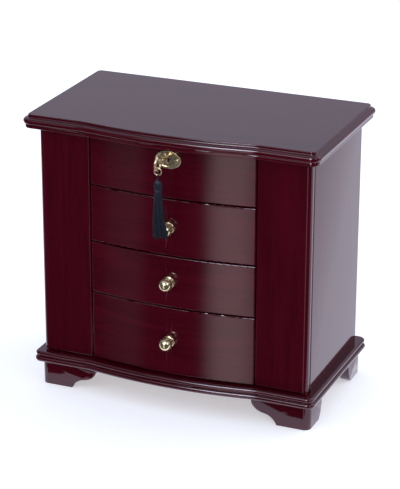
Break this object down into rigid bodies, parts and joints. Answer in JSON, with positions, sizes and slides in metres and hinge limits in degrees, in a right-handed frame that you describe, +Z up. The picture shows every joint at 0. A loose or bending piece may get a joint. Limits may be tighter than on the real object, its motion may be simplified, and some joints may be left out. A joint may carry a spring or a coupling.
{
  "type": "jewelry chest",
  "caption": "Table-top jewellery chest: bow-fronted case with hinged mirrored lid, drawers with ball knobs, swing-out side doors, lock with tasselled key, bracket feet",
  "frame": {"origin": "centre of the overall box's footprint, on the surface that the feet stand on", "axes": "+X is the viewer's right when facing the drawers, -Y is the front, +Z is up"},
  "size_m": [0.3254, 0.2114, 0.3072],
  "materials": {
    "lacquered_mahogany": "dark red-brown stain under high-gloss lacquer",
    "stained_wood": "dark red stain, satin",
    "brass": "polished brass",
    "steel": "plain steel",
    "magnet": "nickel-plated magnet",
    "velvet": "champagne velvet",
    "dark_thread": "dark blue-black rayon thread",
    "mirror_glass": "silvered glass"
  },
  "bodies": {
    "case": {"back_panel": "lacquered_mahogany", "base_board": "lacquered_mahogany", "compartment_floor": "stained_wood", "divider_lower": "stained_wood", "divider_upper": "stained_wood", "door_magnets": "magnet", "door_pivot_pins": "brass", "escutcheon": "brass", "escutcheon_nails": "brass", "foot_back_left": "lacquered_mahogany", "foot_back_right": "lacquered_mahogany", "foot_front_left": "lacquered_mahogany", "foot_front_right": "lacquered_mahogany", "front_rail": "lacquered_mahogany", "lid_hinge_case_leaves": "brass", "lid_hinge_case_screws": "brass", "lid_hinge_pins": "steel", "lock_case": "steel", "necklace_pegs": "brass", "partition_left": "stained_wood", "partition_right": "stained_wood", "ring_rolls": "velvet", "side_left": "lacquered_mahogany", "side_linings": "velvet", "side_right": "lacquered_mahogany", "top_board_left": "lacquered_mahogany", "top_board_right": "lacquered_mahogany", "tray_boards": "stained_wood"},
    "lid": {"lid_board": "lacquered_mahogany", "lid_hinge_lid_leaves": "brass", "lid_hinge_lid_screws": "brass", "lid_strike_plate": "brass", "mirror_frame": "lacquered_mahogany", "mirror_pane": "mirror_glass"},
    "right_door": {"door_right": "lacquered_mahogany", "door_right_pivot_plates": "brass", "door_right_strike": "brass"},
    "left_door": {"door_left": "lacquered_mahogany", "door_left_pivot_plates": "brass", "door_left_strike": "brass"},
    "drawer_1": {"drawer_1_bottom": "stained_wood", "drawer_1_front": "lacquered_mahogany", "drawer_1_knob": "brass", "drawer_1_lining": "velvet", "drawer_1_walls": "stained_wood"},
    "drawer_2": {"drawer_2_bottom": "stained_wood", "drawer_2_front": "lacquered_mahogany", "drawer_2_knob": "brass", "drawer_2_lining": "velvet", "drawer_2_walls": "stained_wood"},
    "drawer_3": {"drawer_3_bottom": "stained_wood", "drawer_3_front": "lacquered_mahogany", "drawer_3_knob": "brass", "drawer_3_lining": "velvet", "drawer_3_walls": "stained_wood"},
    "key": {"key": "brass"},
    "lock_bolt": {"lock_bolt": "steel"},
    "key_ring": {"key_ring": "brass"},
    "tassel": {"tassel_loop": "dark_thread", "tassel_skirt": "dark_thread"}
  },
  "joints": [
    {"name": "lid_hinge", "type": "hinge", "parent": "case", "child": "lid", "pos_m": [0, 0.09475, 0.2905], "axis": [-1, 0, 0], "range_deg": [0, 95]},
    {"name": "right_door_hinge", "type": "hinge", "parent": "case", "child": "right_door", "pos_m": [0.1465, -0.05575, 0.16], "axis": [0, 0, 1], "range_deg": [0, 90]},
    {"name": "left_door_hinge", "type": "hinge", "parent": "case", "child": "left_door", "pos_m": [-0.1465, -0.05575, 0.16], "axis": [0, 0, -1], "range_deg": [0, 90]},
    {"name": "drawer_1_slide", "type": "slide", "parent": "case", "child": "drawer_1", "axis": [0, -1, 0], "range_m": [0, 0.105], "deforming": ["tassel_skirt"]},
    {"name": "drawer_2_slide", "type": "slide", "parent": "case", "child": "drawer_2", "axis": [0, -1, 0], "range_m": [0, 0.105]},
    {"name": "drawer_3_slide", "type": "slide", "parent": "case", "child": "drawer_3", "axis": [0, -1, 0], "range_m": [0, 0.105]},
    {"name": "key_turn", "type": "hinge", "parent": "case", "child": "key", "pos_m": [0, -0.09775, 0.2818], "axis": [0, -1, 0], "range_deg": [0, 90.01]},
    {"name": "lock_bolt_slide", "type": "slide", "parent": "case", "child": "lock_bolt", "axis": [1, 0, 0], "range_m": [0, 0.005]},
    {"name": "key_ring_hang", "type": "hinge", "parent": "key", "child": "key_ring", "pos_m": [0, -0.09775, 0.2752], "axis": [0, -1, 0], "range_deg": [-90.01, 0]},
    {"name": "tassel_swing", "type": "hinge", "parent": "key_ring", "child": "tassel", "pos_m": [0, -0.09775, 0.27], "axis": [0, 1, 0], "range_deg": [-30, 30]}
  ],
  "couplings": [
    {"joint": "key_turn", "follows": "lock_bolt_slide", "rad_per_m": 314.16},
    {"joint": "key_ring_hang", "follows": "lock_bolt_slide", "rad_per_m": -314.16}
  ]
}
